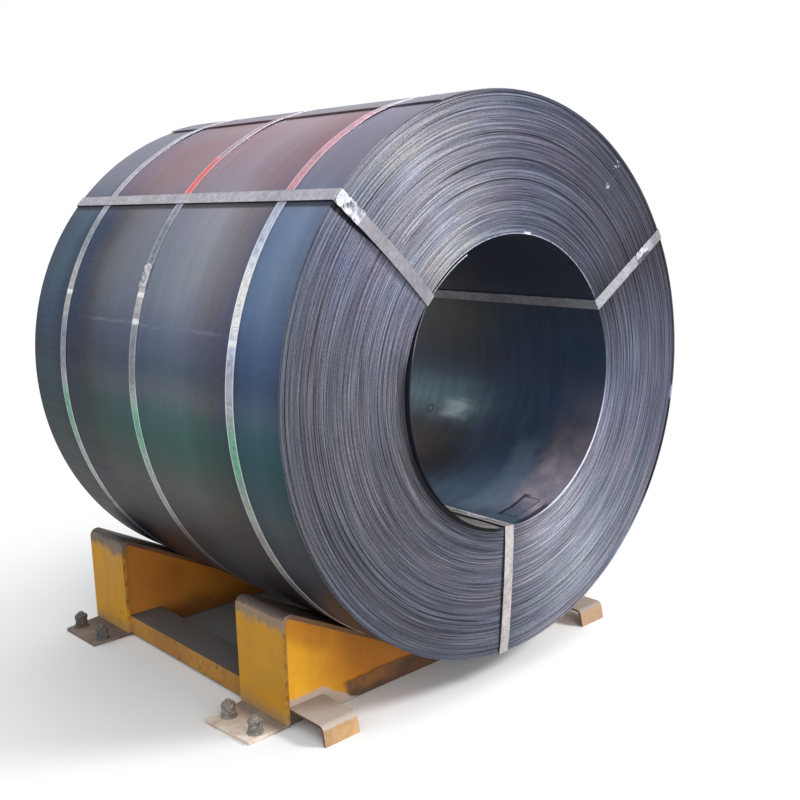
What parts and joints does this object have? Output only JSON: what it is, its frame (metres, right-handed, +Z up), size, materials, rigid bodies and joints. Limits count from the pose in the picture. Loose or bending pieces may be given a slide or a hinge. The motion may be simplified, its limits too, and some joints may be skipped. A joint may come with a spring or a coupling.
{
  "type": "steel coil on cradle",
  "caption": "Strapped roll of hot rolled steel strip with an open eye, lying across a yellow welded saddle cradle on anchor plates.",
  "frame": {"origin": "middle of the object's footprint, on the floor under the cradle", "axes": "+Z up, the coil's axis runs along Y with its near end towards -Y, the cradle's saddle plates run along X"},
  "size_m": [1.4585, 1.2508, 1.5438],
  "materials": {
    "coil_steel": "hot rolled blue-grey oxide skin, satin",
    "strap_steel": "bright strapping, satin",
    "seal_steel": "crimped strap seal, bright",
    "yellow_paint": "worn dusty yellow paint",
    "dusty_plate": "dust over worn paint",
    "bolt_steel": "dark weathered steel"
  },
  "bodies": {
    "root": {"band_strap_1": "strap_steel", "band_strap_2": "strap_steel", "band_strap_3": "strap_steel", "band_strap_seal_1": "seal_steel", "band_strap_seal_2": "seal_steel", "band_strap_seal_3": "seal_steel", "eye_strap_1": "strap_steel", "eye_strap_2": "strap_steel", "eye_strap_3": "strap_steel", "eye_strap_seal_1": "seal_steel", "eye_strap_seal_2": "seal_steel", "eye_strap_seal_3": "seal_steel", "far_anchor_plate_left": "dusty_plate", "far_anchor_plate_right": "dusty_plate", "far_bolt_left_a_nut": "bolt_steel", "far_bolt_left_a_stud": "bolt_steel", "far_bolt_left_b_nut": "bolt_steel", "far_bolt_left_b_stud": "bolt_steel", "far_bolt_right_a_nut": "bolt_steel", "far_bolt_right_a_stud": "bolt_steel", "far_bolt_right_b_nut": "bolt_steel", "far_bolt_right_b_stud": "bolt_steel", "far_bottom_plate": "yellow_paint", "far_front_web_left": "yellow_paint", "far_front_web_right": "yellow_paint", "far_rear_web_left": "yellow_paint", "far_rear_web_right": "yellow_paint", "far_saddle_plate_left": "yellow_paint", "far_saddle_plate_right": "yellow_paint", "near_anchor_plate_left": "dusty_plate", "near_anchor_plate_right": "dusty_plate", "near_bolt_left_a_nut": "bolt_steel", "near_bolt_left_a_stud": "bolt_steel", "near_bolt_left_b_nut": "bolt_steel", "near_bolt_left_b_stud": "bolt_steel", "near_bolt_right_a_nut": "bolt_steel", "near_bolt_right_a_stud": "bolt_steel", "near_bolt_right_b_nut": "bolt_steel", "near_bolt_right_b_stud": "bolt_steel", "near_bottom_plate": "yellow_paint", "near_clip_left": "dusty_plate", "near_clip_right": "dusty_plate", "near_front_web_left": "yellow_paint", "near_front_web_right": "yellow_paint", "near_rear_web_left": "yellow_paint", "near_rear_web_right": "yellow_paint", "near_saddle_plate_left": "yellow_paint", "near_saddle_plate_right": "yellow_paint", "steel_coil": "coil_steel", "tie_beam_left": "yellow_paint", "tie_beam_right": "yellow_paint"}
  },
  "joints": []
}
